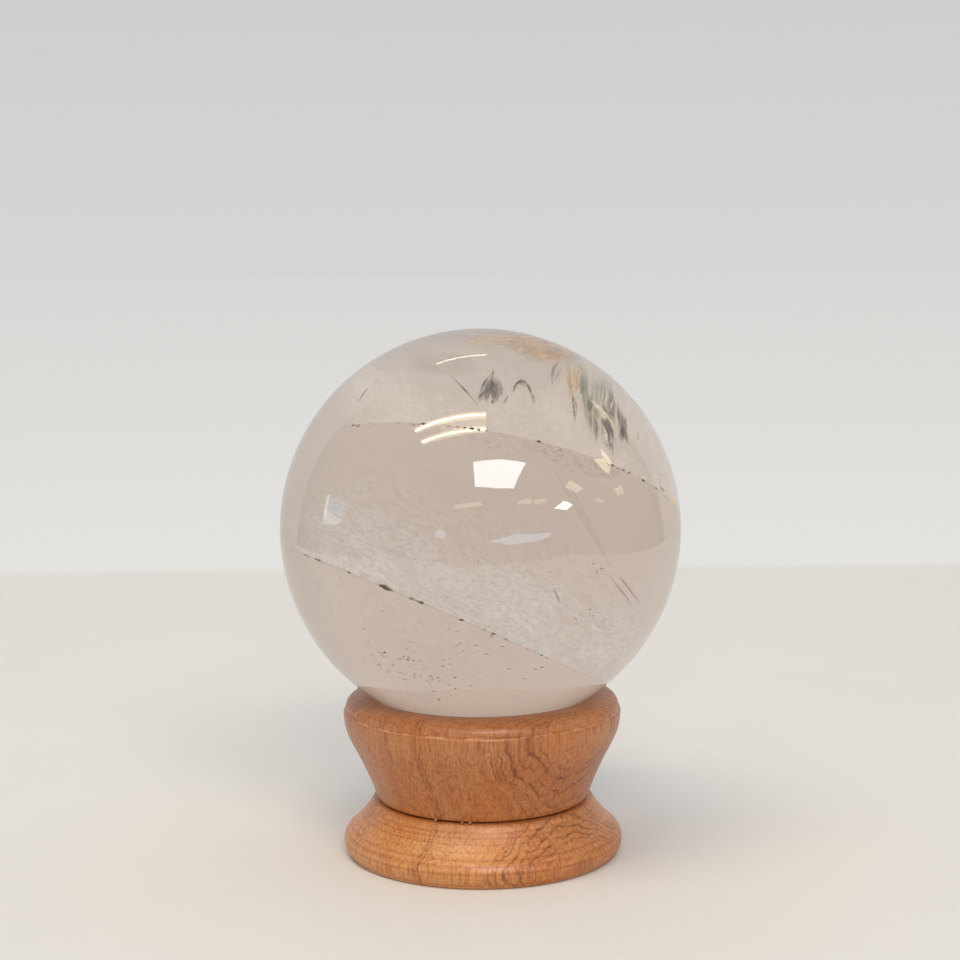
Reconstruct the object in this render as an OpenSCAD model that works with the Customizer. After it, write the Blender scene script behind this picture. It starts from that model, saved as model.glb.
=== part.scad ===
// Polished quartz sphere on its turned wooden stand.
// Millimetres. The origin is the centre of the stand's flat base, with +Z up.

/* [Sphere] */
// Diameter of the polished sphere
sphere_d = 70; // [60:1:90]

/* [Healed fractures] */
// Width of the slit that each fracture opens in the stone
fracture_w = 0.15; // [0.1:0.05:0.3]
// Distance from the sphere's centre up to the upper fracture's plane, as a share of the radius
upper_height = 0.18; // [0.05:0.01:0.3]
// Distance from the sphere's centre down to the lower fracture's plane, as a share of the radius
lower_depth = 0.48; // [0.35:0.01:0.55]
// Reach of the upper fracture into the stone, as a share of the sphere's diameter
upper_reach = 0.91; // [0.3:0.01:0.94]
// Reach of the lower fracture into the stone, as a share of the sphere's diameter
lower_reach = 0.77; // [0.3:0.01:0.85]
// Reach of the short fracture that branches down from the upper one, as a share of the diameter
short_reach = 0.28; // [0.15:0.01:0.4]

/* [Stand] */
// Height of the ring on which the sphere rests, above the base
seat_h = 27.9; // [26.5:0.1:34]
// Diameter of the ring on which the sphere rests
seat_d = 37.2; // [34:0.2:42]
// Widest diameter of the shoulder, under the lip
shoulder_d = 49; // [48:0.5:56]
// Diameter of the waist, at the lower end of the upper taper
waist_d = 37.5; // [32:0.5:40]
// Widest diameter of the foot
foot_d = 49.4; // [46:0.2:60]
// Height of the foot, from the base to the parting slot
foot_h = 9.7; // [8:0.1:12]

/* [Seat] */
// Width of the conical land that the sphere touches
land_w = 1.6; // [1:0.1:2]
// Clearance between the sphere's lowest point and the bottom of the dish
dish_gap = 1.5; // [0.5:0.1:3]

/* [Turned details] */
// Width of the parting slot between the foot and the upper taper
slot_w = 0.5; // [0.4:0.1:1]
// Depth of the parting slot, measured from the waist
slot_depth = 1.2; // [0.5:0.1:2]
// Depth of the line scored round the shoulder
score_depth = 0.2; // [0.1:0.05:0.4]

/* [Hidden] */

$fn = 160;

sphere_r = sphere_d / 2;
seat_r = seat_d / 2;
shoulder_r = shoulder_d / 2;
waist_r = waist_d / 2;
foot_r = foot_d / 2;

// The sphere touches the land where the land is tangent to it.
seat_angle = asin(seat_r / sphere_r);
sphere_z = seat_h + sphere_r * cos(seat_angle);
land_run = land_w / 2 * cos(seat_angle);
land_rise = land_w / 2 * sin(seat_angle);

// The dish is part of a ball that passes through the land's lower edge
// and is deep enough to leave dish_gap under the sphere.
dish_mouth_r = seat_r - land_run;
dish_mouth_z = seat_h - land_rise;
dish_floor_z = sphere_z - sphere_r - dish_gap;
dish_depth = dish_mouth_z - dish_floor_z;
dish_r = (dish_mouth_r * dish_mouth_r + dish_depth * dish_depth) / (2 * dish_depth);

// The lip and the line scored under it
lip_r = seat_r + land_run;
lip_z = seat_h + land_rise;
lip_round = 0.15;
score_r = shoulder_r - 0.25;
score_z = lip_z - 2.4;
score_half_w = 0.2;

// The shoulder rounds over into the upper taper, a shallow cove down to the waist
shoulder_z = lip_z - 3.1;
taper_top_r = shoulder_r - 1.3;
taper_top_z = shoulder_z - 5;
cove = 0.5;
slot_r = waist_r - slot_depth;
slot_top_z = foot_h + slot_w;

// The foot flares from the slot to a bellied rim
foot_top_r = waist_r + 0.7;
flare_r = foot_r - 0.7;
flare_z = 4.2;
foot_widest_z = 2.4;
base_r = foot_r - 0.9;
base_round = 0.4;

curve_steps = 12;

// Points along a curve from a to b that leans towards the control point c
function curve(a, c, b) = [
    for (i = [0 : curve_steps])
        let (t = i / curve_steps)
            (1 - t) * (1 - t) * a + 2 * t * (1 - t) * c + t * t * b
];

// The outline of the stand's right half, from the base's centre outwards and up
stand_profile = concat(
    [[0, 0]],
    // foot: rounded bottom edge, then the rim, widest between two curves
    curve([base_r - base_round, 0], [base_r, 0], [base_r + base_round / 2, base_round]),
    curve([base_r + base_round, base_round * 2], [foot_r, foot_widest_z / 2], [foot_r, foot_widest_z]),
    curve([foot_r, foot_widest_z], [foot_r, (foot_widest_z + flare_z) / 2], [flare_r, flare_z]),
    // hollow flare up to the parting slot
    curve([flare_r, flare_z],
          [(flare_r + foot_top_r) / 2 - cove, (flare_z + foot_h) / 2 - cove],
          [foot_top_r, foot_h]),
    [[slot_r, foot_h], [slot_r, slot_top_z]],
    // upper taper and rounded shoulder
    curve([waist_r, slot_top_z],
          [(waist_r + taper_top_r) / 2 - cove, (slot_top_z + taper_top_z) / 2],
          [taper_top_r, taper_top_z]),
    curve([taper_top_r, taper_top_z],
          [shoulder_r, (taper_top_z + shoulder_z) / 2],
          [shoulder_r, shoulder_z]),
    // scored line, then the lip
    curve([shoulder_r, shoulder_z],
          [shoulder_r, (shoulder_z + score_z - score_half_w) / 2],
          [score_r + score_half_w / 2, score_z - score_half_w]),
    [[score_r - score_depth, score_z]],
    curve([score_r - score_half_w / 2, score_z + score_half_w],
          [score_r - score_half_w, lip_z + lip_round],
          [lip_r + 2 * lip_round, lip_z + lip_round]),
    // the land, tangent to the sphere
    [[lip_r, lip_z], [dish_mouth_r, dish_mouth_z], [0, dish_mouth_z]]
);

// Turned in one piece, with the dish hollowed out of its top
module wooden_stand() {
    color("peru")
    difference() {
        rotate_extrude() polygon(stand_profile);
        translate([0, 0, dish_floor_z + dish_r]) sphere(dish_r);
    }
}

// A fracture meets the surface along part of the circle that its plane cuts from the sphere.
// From there it runs straight into the stone: away from the front and up by its rise.
// Angles along the circle: 270 faces the front, 360 points to +X.
upper_plane = [0.18, 0.41, 0.9];
lower_plane = [0.4, 0.2, 0.89];
upper_arc = [222, 350];
lower_arc = [199, 352];
short_arc = [246, 345];
upper_rise = 9;
lower_rise = 20;
short_rise = -34;
arc_step = 6;

function unit(v) = v / norm(v);

// The point at angle a on a circle round the axis up, in the two directions across a fracture's run
function run_view(up, a, rise) =
    let (right = unit([1, 0, 0] - up.x * up), back = cross(up, right))
    let (p = cos(a) * right + sin(a) * back)
        [p.x, p.z * cos(rise) - p.y * sin(rise)];

// One edge of the slit's outline: side is 1 for its upper edge and -1 for its lower edge
function slit_edge(up, height, arc, rise, side) =
    let (circle_r = sqrt(sphere_r * sphere_r - height * height),
         middle = height * [up.x, up.z * cos(rise) - up.y * sin(rise)],
         steps = ceil((arc[1] - arc[0]) / arc_step))
    [for (i = [0 : steps])
        let (a = arc[0] + (arc[1] - arc[0]) * i / steps,
             along = unit(run_view(up, a + 90, rise)))
            middle + circle_r * run_view(up, a, rise) + side * fracture_w / 2 * [-along.y, along.x]];

// A narrow slit along one fracture. It leaves the stone whole at the back, beyond its reach.
module fracture(plane, height, arc, rise, reach) {
    up = unit(plane);
    upper_edge = slit_edge(up, height, arc, rise, 1);
    lower_edge = slit_edge(up, height, arc, rise, -1);
    count = len(upper_edge);
    outline = concat(upper_edge, [for (i = [1 : count]) lower_edge[count - i]]);
    whole = (1 - reach) * sphere_d;
    intersection() {
        rotate([90 + rise, 0, 0]) linear_extrude(height = 4 * sphere_r, center = true) polygon(outline);
        translate([0, -whole * cos(rise), -whole * sin(rise)]) sphere(sphere_r);
    }
}

// One polished stone, with the slits of its three fractures
module quartz_sphere() {
    color("antiquewhite")
    translate([0, 0, sphere_z])
    difference() {
        sphere(sphere_r);
        fracture(upper_plane, upper_height * sphere_r, upper_arc, upper_rise, upper_reach);
        fracture(lower_plane, -lower_depth * sphere_r, lower_arc, lower_rise, lower_reach);
        fracture(upper_plane, upper_height * sphere_r, short_arc, short_rise, short_reach);
    }
}

wooden_stand();
quartz_sphere();
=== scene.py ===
import math
import random

import bmesh
import bpy
from mathutils import Matrix, Vector, noise


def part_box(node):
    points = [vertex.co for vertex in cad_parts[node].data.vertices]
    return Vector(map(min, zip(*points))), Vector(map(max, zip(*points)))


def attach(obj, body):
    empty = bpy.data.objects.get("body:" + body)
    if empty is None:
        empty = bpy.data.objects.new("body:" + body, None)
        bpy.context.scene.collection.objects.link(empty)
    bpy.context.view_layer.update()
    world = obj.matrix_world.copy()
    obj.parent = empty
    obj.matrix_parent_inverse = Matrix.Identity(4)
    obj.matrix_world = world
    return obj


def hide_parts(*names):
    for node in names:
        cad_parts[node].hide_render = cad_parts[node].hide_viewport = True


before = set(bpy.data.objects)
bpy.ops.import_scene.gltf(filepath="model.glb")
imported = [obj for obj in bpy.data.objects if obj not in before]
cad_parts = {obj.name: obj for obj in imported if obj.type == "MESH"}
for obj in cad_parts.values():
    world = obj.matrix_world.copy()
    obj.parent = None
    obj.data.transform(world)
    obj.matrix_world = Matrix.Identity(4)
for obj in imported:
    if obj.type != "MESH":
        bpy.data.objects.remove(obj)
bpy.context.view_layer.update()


# ---------------------------------------------------------------------------
# The view
# ---------------------------------------------------------------------------
# The object stands on a table at arm's length, and the eye is a little above
# the middle of the sphere. The sphere's own box gives its centre and radius.

MM = 0.001
ball_low, ball_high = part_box("quartz_sphere")
BALL_R = (ball_high.z - ball_low.z) / 2
BALL_CENTRE = Vector((0, 0, (ball_high.z + ball_low.z) / 2))

eye_distance = 350 * MM
eye_elevation = math.radians(8.24)
aim_above_ball_centre = 8.55 * MM
head_tilt = math.radians(-0.51)

camera_data = bpy.data.cameras.new("camera")
camera_data.lens = 74.8
camera_data.sensor_width = 36
camera_data.clip_start = 10 * MM
camera = bpy.data.objects.new("camera", camera_data)
bpy.context.scene.collection.objects.link(camera)
bpy.context.scene.camera = camera
eye = Vector((0, -math.cos(eye_elevation), math.sin(eye_elevation))) * eye_distance
camera.location = BALL_CENTRE + eye
aim = BALL_CENTRE + Vector((0, 0, aim_above_ball_centre))
facing = (aim - camera.location).to_track_quat("-Z", "Y").to_matrix().to_4x4()
camera.matrix_world = (
    Matrix.Translation(camera.location) @ facing @ Matrix.Rotation(head_tilt, 4, "Z")
)


# ---------------------------------------------------------------------------
# The wooden stand
# ---------------------------------------------------------------------------
# One block of red-brown hardwood with its grain upright, turned on a lathe and
# brushed with a satin varnish. From the top: a rounded lip with a scored line,
# a tapered body, a narrow parting slot and a flared foot.

seat_r, seat_z = 18.6, 27.9
shoulder_r = 24.5
waist_r = 18.75
foot_r, foot_h = 24.7, 9.7
slot_w, slot_depth = 0.5, 1.2
land_w = 1.6
dish_gap = 1.5
score_depth, score_half = 0.2, 0.2
lip_round = 0.15
cove = 0.5
base_ring_r = 12

ball_r = BALL_R / MM
land_slope = math.asin(seat_r / ball_r)
land_run = land_w / 2 * math.cos(land_slope)
land_rise = land_w / 2 * math.sin(land_slope)
lip_r, lip_z = seat_r + land_run, seat_z + land_rise
dish_r, dish_z = seat_r - land_run, seat_z - land_rise
dish_depth = dish_z - (BALL_CENTRE.z / MM - ball_r - dish_gap)
score_r, score_z = shoulder_r - 0.25, lip_z - 2.4
shoulder_z = lip_z - 3.1
taper_top_r, taper_top_z = shoulder_r - 1.3, shoulder_z - 5
slot_top_z = foot_h + slot_w
foot_top_r = waist_r + 0.7
flare_r, flare_z = foot_r - 0.7, 4.2
widest_z = 2.4
base_r, base_round = foot_r - 0.9, 0.4


def curve(a, c, b):
    """Points from a to b along a curve that leans towards c."""
    steps = 14
    points = []
    for i in range(steps + 1):
        t = i / steps
        points.append([
            (1 - t) ** 2 * p + 2 * t * (1 - t) * q + t * t * s for p, q, s in zip(a, c, b)
        ])
    return points


def dish():
    """The hollow under the sphere: part of a ball through the land's lower edge."""
    steps = 16
    r = (dish_r ** 2 + dish_depth ** 2) / (2 * dish_depth)
    half = math.asin(dish_r / r)
    floor = dish_z - dish_depth
    angles = [half * (1 - i / steps) for i in range(1, steps + 1)]
    return [[r * math.sin(a), floor + r * (1 - math.cos(a))] for a in angles]


# From the middle of the base, outwards and up. Each curve starts a few hundredths
# of a millimetre past the end of the one before, so that no two points meet.
stand_outline = (
    [[0, 0], [base_ring_r, 0]]
    + curve([base_r - base_round, 0], [base_r, 0], [base_r + base_round / 2, base_round])
    + curve([base_r + base_round, base_round * 2], [foot_r, widest_z / 2], [foot_r, widest_z])
    + curve([foot_r, widest_z + 0.05], [foot_r, (widest_z + flare_z) / 2], [flare_r, flare_z])
    + curve([flare_r - 0.05, flare_z + 0.05],
            [(flare_r + foot_top_r) / 2 - cove, (flare_z + foot_h) / 2 - cove],
            [foot_top_r - 0.05, foot_h - 0.04])
    + [[foot_top_r - 0.12, foot_h]]
    + [[waist_r - slot_depth, foot_h], [waist_r - slot_depth, slot_top_z]]
    + [[waist_r - 0.08, slot_top_z]]
    + curve([waist_r, slot_top_z + 0.08],
            [(waist_r + taper_top_r) / 2 - cove, (slot_top_z + taper_top_z) / 2],
            [taper_top_r, taper_top_z])
    + curve([taper_top_r + 0.03, taper_top_z + 0.06],
            [shoulder_r, (taper_top_z + shoulder_z) / 2],
            [shoulder_r, shoulder_z])
    + curve([shoulder_r, shoulder_z + 0.05],
            [shoulder_r, (shoulder_z + score_z - score_half) / 2],
            [score_r + score_half / 2, score_z - score_half])
    + [[score_r - score_depth, score_z]]
    + curve([score_r - score_half / 2, score_z + score_half],
            [score_r - score_half, lip_z + lip_round],
            [lip_r + 2 * lip_round, lip_z + lip_round])
    + [[lip_r, lip_z], [dish_r, dish_z]]
    + dish()
)


def add(tree, kind, settings=None, **inputs):
    """Adds a node, sets its settings, and sets or links its inputs by name."""
    node = tree.nodes.new(kind)
    for name, value in (settings or {}).items():
        setattr(node, name, value)
    for name, value in inputs.items():
        wire(tree, node, name.replace("_", " "), value)
    return node


def wire(tree, node, name, value):
    """Gives one input of a node a plain value or a link from another socket."""
    socket = node.inputs[int(name)] if name.isdigit() else node.inputs[name]
    if isinstance(value, bpy.types.NodeSocket):
        tree.links.new(value, socket)
    else:
        socket.default_value = value


def new_tree(name, inputs):
    """A Geometry Nodes tree with a mesh in, a mesh out and the named inputs."""
    tree = bpy.data.node_groups.new(name, "GeometryNodeTree")
    tree.interface.new_socket("Geometry", in_out="INPUT", socket_type="NodeSocketGeometry")
    for label, kind in inputs:
        tree.interface.new_socket(label, in_out="INPUT", socket_type=kind)
    tree.interface.new_socket("Geometry", in_out="OUTPUT", socket_type="NodeSocketGeometry")
    return tree, tree.nodes.new("NodeGroupInput"), tree.nodes.new("NodeGroupOutput")


def finish_tree(tree, group_out, geometry, material):
    """Ends a tree with real geometry and its material."""
    real = add(tree, "GeometryNodeRealizeInstances", Geometry=geometry)
    painted = add(tree, "GeometryNodeSetMaterial", Geometry=real.outputs[0], Material=material)
    tree.links.new(painted.outputs[0], group_out.inputs[0])


def grow(name, start_mesh, tree, values):
    """Runs a tree on a start mesh and keeps the result as a plain mesh object."""
    holder = bpy.data.objects.new(name + "_start", start_mesh)
    bpy.context.scene.collection.objects.link(holder)
    modifier = holder.modifiers.new("nodes", "NODES")
    modifier.node_group = tree
    for item in tree.interface.items_tree:
        if item.item_type == "SOCKET" and item.in_out == "INPUT" and item.name in values:
            modifier[item.identifier] = values[item.name]
    bpy.context.view_layer.update()
    shape = holder.evaluated_get(bpy.context.evaluated_depsgraph_get())
    mesh = bpy.data.meshes.new_from_object(shape)
    bpy.data.objects.remove(holder)
    mesh.name = name
    piece = bpy.data.objects.new(name, mesh)
    bpy.context.scene.collection.objects.link(piece)
    return piece


def math_node(tree, operation, a, b=0.0, c=0.0):
    """One step of arithmetic, as an output socket."""
    node = tree.nodes.new("ShaderNodeMath")
    node.operation = operation
    for i, value in enumerate((a, b, c)):
        wire(tree, node, str(i), value)
    return node.outputs[0]


def vector_node(tree, operation, a, b=(0, 0, 0), scale=1.0):
    """One step of vector arithmetic, as an output socket."""
    node = tree.nodes.new("ShaderNodeVectorMath")
    node.operation = operation
    wire(tree, node, "0", a)
    if operation == "SCALE":
        wire(tree, node, "Scale", scale)
    else:
        wire(tree, node, "1", b)
    return node.outputs["Value" if operation in ("LENGTH", "DISTANCE", "DOT_PRODUCT") else 0]


def ramp(tree, value, stops):
    """A colour ramp with (place, colour) stops, as its colour output. A plain number is a grey."""
    node = tree.nodes.new("ShaderNodeValToRGB")
    wire(tree, node, "0", value)
    elements = node.color_ramp.elements
    while len(elements) < len(stops):
        elements.new(0.5)
    for element, (place, colour) in zip(elements, stops):
        element.position = place
        element.color = (*colour, 1) if isinstance(colour, tuple) else (colour, colour, colour, 1)
    return node.outputs[0]


def blend(tree, kind, amount, a, b):
    """Mixes two colours, each a socket or (red, green, blue), as the result's socket."""
    node = tree.nodes.new("ShaderNodeMix")
    node.data_type = "RGBA"
    node.blend_type = kind
    wire(tree, node, "0", amount)
    for socket, colour in (("6", a), ("7", b)):
        wire(tree, node, socket, (*colour, 1) if isinstance(colour, tuple) else colour)
    return node.outputs[2]


def new_material(name):
    """A node material, its node tree and its Principled shader."""
    material = bpy.data.materials.new(name)
    material.use_nodes = True
    return material, material.node_tree, material.node_tree.nodes["Principled BSDF"]


def surface_mm(tree):
    """The point on the surface, in millimetres."""
    point = add(tree, "ShaderNodeTexCoord").outputs["Object"]
    return vector_node(tree, "SCALE", point, scale=1 / MM)


def tone(red, green, blue):
    """A colour written 0 to 255 as it shows on a screen, for a node socket."""
    parts = [c / 255 for c in (red, green, blue)]
    return tuple(c / 12.92 if c <= 0.04045 else ((c + 0.055) / 1.055) ** 2.4 for c in parts)


def soft_step(tree, value, low, high, first=0.0, last=1.0):
    """A smooth step from first to last as the value goes from low to high."""
    step = add(tree, "ShaderNodeMapRange", {"interpolation_type": "SMOOTHSTEP"}, Value=value,
               From_Min=low, From_Max=high, To_Min=first, To_Max=last)
    return step.outputs["Result"]


def mottle(tree, point, stretch, detail, roughness=0.5):
    """A cloudy pattern over the point. The stretch is how fast it changes along x, y and z."""
    return add(tree, "ShaderNodeTexNoise", Vector=vector_node(tree, "MULTIPLY", point, stretch),
               Scale=1.0, Detail=detail, Roughness=roughness)


def stripes(tree, distance, detail, roughness=0.5, scale=1.0):
    """A pattern of uneven stripes that changes with one distance alone."""
    return add(tree, "ShaderNodeTexNoise", {"noise_dimensions": "1D"}, W=distance, Scale=scale,
               Detail=detail, Roughness=roughness).outputs["Fac"]


def varnished_wood():
    """Turned hardwood. The growth rings are upright, slightly curved planes, with pores along the grain."""
    material, tree, shader = new_material("varnished_wood")
    point = surface_mm(tree)
    # The tree's pith lay to the right and in front of the block. The rings wander slowly and shiver.
    pith = (80, -85, 0)
    level = (1, 1, 0)
    mean = (0.5, 0.5, 0.5)
    slow = mottle(tree, point, (0.14, 0.14, 0.10), 2.0)
    wander = vector_node(tree, "SUBTRACT", slow.outputs["Color"], mean)
    leaning = vector_node(tree, "ADD", point, vector_node(tree, "SCALE", wander, scale=3.4))
    quick = mottle(tree, point, (0.9, 0.9, 0.42), 3.0)
    shiver = vector_node(tree, "SUBTRACT", quick.outputs["Color"], mean)
    bent = vector_node(tree, "ADD", leaning, vector_node(tree, "SCALE", shiver, scale=0.9))
    ring = vector_node(tree, "DISTANCE", vector_node(tree, "MULTIPLY", bent, level), pith)
    # Broad bands of early and late wood, then thin dark lines at uneven distances, broken along the grain.
    bands = stripes(tree, math_node(tree, "MULTIPLY", ring, 0.36), 2.0)
    lines = stripes(tree, math_node(tree, "MULTIPLY", ring, 1.15), 4.0, 0.66)
    line_mask = ramp(tree, lines, [(0.47, 0), (0.56, 0.4), (0.66, 1)])
    # Each year ends in a dark line. The years are about a millimetre wide.
    years_per_mm = 1.06
    uneven_years = math_node(tree, "MULTIPLY", bands, 0.9)
    year_count = math_node(tree, "MULTIPLY_ADD", ring, years_per_mm, uneven_years)
    part_of_year = math_node(tree, "SUBTRACT", math_node(tree, "FRACT", year_count), 0.5)
    year_end = soft_step(tree, math_node(tree, "ABSOLUTE", part_of_year), 0.17, 0.04)
    patches = mottle(tree, point, (0.42, 0.42, 0.19), 4.0, 0.6)
    patch = ramp(tree, patches.outputs["Fac"], [(0.40, 0.25), (0.56, 1)])
    # The dark lines crowd together in the rings of a few dry years: distance from the pith, spread, strength.
    cluster = 0.1
    for year, spread, strength in [(96.8, 3.8, 0.7), (110.6, 1.3, 0.6), (82.0, 3.0, 0.6), (128.0, 3.0, 0.7)]:
        off_year = math_node(tree, "ABSOLUTE", math_node(tree, "SUBTRACT", ring, year))
        dry = soft_step(tree, off_year, spread * 0.5, spread, strength, 0.0)
        cluster = math_node(tree, "ADD", dry, cluster)
    fibre = mottle(tree, leaning, (2.2, 2.2, 0.13), 4.0, 0.62)
    pores = mottle(tree, point, (5.0, 5.0, 0.7), 2.0)
    pore_mask = ramp(tree, pores.outputs["Fac"], [(0.58, 0), (0.69, 1)])
    flecks = mottle(tree, point, (1.9, 1.9, 2.4), 4.0, 0.72)
    glow = mottle(tree, point, (0.11, 0.11, 0.10), 2.0)

    colour = blend(tree, "MIX", bands, tone(208, 145, 91), tone(184, 117, 65))
    # Painted light: the wood is painted paler and yellower towards the foot, as light from above falls on its
    # flare, and less so on the front right, where the foot is in shade.
    height = add(tree, "ShaderNodeSeparateXYZ", Vector=point).outputs["Z"]
    near_foot = soft_step(tree, height, 6.0, 13.0, 0.55, 0.0)
    painted_foot_light = math_node(tree, "MULTIPLY", near_foot, soft_step(tree, ring, 91.0, 99.0, 0.1, 1.0))
    colour = blend(tree, "MIX", painted_foot_light, colour, tone(232, 174, 108))
    line = math_node(tree, "MAXIMUM", year_end, math_node(tree, "MULTIPLY", line_mask, 0.6))
    line = math_node(tree, "MULTIPLY", math_node(tree, "MULTIPLY", line, patch), cluster)
    colour = blend(tree, "MIX", line, colour, tone(128, 72, 34))
    fibre_mask = ramp(tree, fibre.outputs["Fac"], [(0.34, 0.9), (0.56, 0)])
    colour = blend(tree, "MULTIPLY", fibre_mask, colour, tone(218, 180, 144))
    colour = blend(tree, "MULTIPLY", math_node(tree, "MULTIPLY", pore_mask, 0.45), colour, tone(176, 124, 88))
    fleck_mask = ramp(tree, flecks.outputs["Fac"], [(0.32, 0.4), (0.58, 0)])
    colour = blend(tree, "MULTIPLY", fleck_mask, colour, tone(222, 194, 164))
    # Amber and rosy areas, as the varnish lies thicker or thinner.
    glow_mask = ramp(tree, glow.outputs["Fac"], [(0.40, 0), (0.62, 0.8)])
    colour = blend(tree, "MULTIPLY", glow_mask, colour, tone(255, 238, 206))
    # The chisel left fine rings round the stand, which the varnish only half fills. Their grooves are painted
    # darker, as painted shade, most on the foot.
    away = vector_node(tree, "LENGTH", vector_node(tree, "MULTIPLY", point, level))
    down_the_side = math_node(tree, "ADD", math_node(tree, "MULTIPLY", height, 2.3),
                              math_node(tree, "MULTIPLY", away, 1.1))
    tool = stripes(tree, down_the_side, 3.0, 0.75)
    groove_shade = soft_step(tree, tool, 0.36, 0.56, 1.0, 0.0)
    groove_shade_strength = soft_step(tree, height, foot_h - 1, foot_h + 1, 0.55, 0.2)
    colour = blend(tree, "MULTIPLY", math_node(tree, "MULTIPLY", groove_shade, groove_shade_strength), colour,
                   tone(222, 188, 154))
    # The scored line is painted pale: partly rubbed wear, partly a painted highlight on its edge.
    from_score = math_node(tree, "ABSOLUTE", math_node(tree, "SUBTRACT", height, score_z))
    score_wear_and_highlight = math_node(tree, "MULTIPLY", math_node(tree, "LESS_THAN", from_score, score_half),
                     ramp(tree, patches.outputs["Fac"], [(0.47, 0.0), (0.60, 0.6)]))
    outside = math_node(tree, "GREATER_THAN", away, shoulder_r - 1)
    colour = blend(tree, "MIX", math_node(tree, "MULTIPLY", score_wear_and_highlight, outside), colour, tone(226, 172, 130))
    wire(tree, shader, "Base Color", colour)
    rough = add(tree, "ShaderNodeMapRange", Value=tool, To_Min=0.36, To_Max=0.52)
    wire(tree, shader, "Roughness", rough.outputs["Result"])
    shader.inputs["Coat Weight"].default_value = 0.3
    shader.inputs["Coat Roughness"].default_value = 0.24
    relief = math_node(tree, "ADD", math_node(tree, "MULTIPLY", tool, 0.11),
                       math_node(tree, "MULTIPLY", pore_mask, -0.02))
    bump = add(tree, "ShaderNodeBump", Height=relief, Distance=MM, Strength=0.6)
    wire(tree, shader, "Normal", bump.outputs["Normal"])
    return material


wood = varnished_wood()

lathe, lathe_in, lathe_out = new_tree("lathe", [
    ("Segments", "NodeSocketInt"),
    ("Sharp Angle", "NodeSocketFloat"),
    ("Material", "NodeSocketMaterial"),
])
segments = lathe_in.outputs["Segments"]
outline_size = add(lathe, "GeometryNodeAttributeDomainSize", Geometry=lathe_in.outputs["Geometry"])
around = math_node(lathe, "ADD", segments, 1)
grid = add(lathe, "GeometryNodeMeshGrid", Vertices_X=outline_size.outputs["Point Count"],
           Vertices_Y=around)
index = add(lathe, "GeometryNodeInputIndex").outputs[0]
row = math_node(lathe, "FLOOR", math_node(lathe, "DIVIDE", math_node(lathe, "ADD", index, 0.5), around))
column = math_node(lathe, "SUBTRACT", index, math_node(lathe, "MULTIPLY", row, around))
angle = math_node(lathe, "MULTIPLY", math_node(lathe, "DIVIDE", column, segments), math.tau)
place = add(lathe, "GeometryNodeInputPosition").outputs[0]
sample = add(lathe, "GeometryNodeSampleIndex", {"data_type": "FLOAT_VECTOR"},
             Geometry=lathe_in.outputs["Geometry"], Value=place, Index=row)
turned = add(lathe, "ShaderNodeVectorRotate", {"rotation_type": "Z_AXIS"},
             Vector=sample.outputs[0], Angle=angle)
shaped = add(lathe, "GeometryNodeSetPosition", Geometry=grid.outputs["Mesh"], Position=turned.outputs[0])
closed = add(lathe, "GeometryNodeMergeByDistance", Geometry=shaped.outputs[0], Distance=0.001 * MM)
smooth = add(lathe, "GeometryNodeSetShadeSmooth", {"domain": "FACE"}, Geometry=closed.outputs[0])
bend = add(lathe, "GeometryNodeInputMeshEdgeAngle").outputs["Unsigned Angle"]
sharp = add(lathe, "FunctionNodeCompare", {"data_type": "FLOAT", "operation": "GREATER_THAN"},
            A=bend, B=lathe_in.outputs["Sharp Angle"])
crisp = add(lathe, "GeometryNodeSetShadeSmooth", {"domain": "EDGE"}, Geometry=smooth.outputs[0],
            Selection=sharp.outputs[0], Shade_Smooth=False)
finish_tree(lathe, lathe_out, crisp.outputs[0], lathe_in.outputs["Material"])

outline_mesh = bpy.data.meshes.new("stand_outline")
outline_mesh.from_pydata([(r * MM, 0, z * MM) for r, z in stand_outline],
                         [(i, i + 1) for i in range(len(stand_outline) - 1)], [])
stand = grow("turned_stand", outline_mesh, lathe,
             {"Segments": 256, "Sharp Angle": math.radians(30), "Material": wood})
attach(stand, "root")
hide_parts("wooden_stand")


# ---------------------------------------------------------------------------
# Varnish runs
# ---------------------------------------------------------------------------
# Where the brush left too much, three drips of varnish ran over the parting
# slot and hardened there, as small clear amber beads.

run_mid = (foot_h + slot_top_z) / 2
run_depth = 0.35


def varnish_amber():
    """Hardened varnish, a clear amber that takes the wood's colour."""
    material, tree, shader = new_material("varnish_amber")
    streaks = add(tree, "ShaderNodeTexNoise", Vector=surface_mm(tree), Scale=2.5, Detail=2.0)
    wire(tree, shader, "Base Color", ramp(tree, streaks.outputs["Fac"], [
        (0.40, tone(140, 86, 50)), (0.60, tone(170, 112, 70))]))
    shader.inputs["Roughness"].default_value = 0.25
    return material


# Each has its distance from the middle, half width and half height.
runs = bmesh.new()
for across, half_w, half_h in [(-8.0, 0.3, 0.75), (-3.5, 0.22, 0.42), (-2.2, 0.3, 0.52)]:
    turn = math.asin(across / waist_r)
    stretch = Matrix.Diagonal((half_w * MM, run_depth * MM, half_h * MM, 1))
    set_at = Vector((waist_r * math.sin(turn), -waist_r * math.cos(turn), run_mid)) * MM
    bmesh.ops.create_uvsphere(runs, u_segments=20, v_segments=12, radius=1,
                              matrix=Matrix.Translation(set_at) @ Matrix.Rotation(turn, 4, "Z") @ stretch)
for face in runs.faces:
    face.smooth = True
runs_mesh = bpy.data.meshes.new("varnish_runs")
runs.to_mesh(runs_mesh)
runs.free()
runs_mesh.materials.append(varnish_amber())
varnish_runs = bpy.data.objects.new("varnish_runs", runs_mesh)
bpy.context.scene.collection.objects.link(varnish_runs)
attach(varnish_runs, "root")


# ---------------------------------------------------------------------------
# The quartz sphere
# ---------------------------------------------------------------------------
# One rough crystal, ground to a ball and polished. It is clear quartz with a
# warm tint, and it is dense enough with tiny bubbles to look a little milky.

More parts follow.
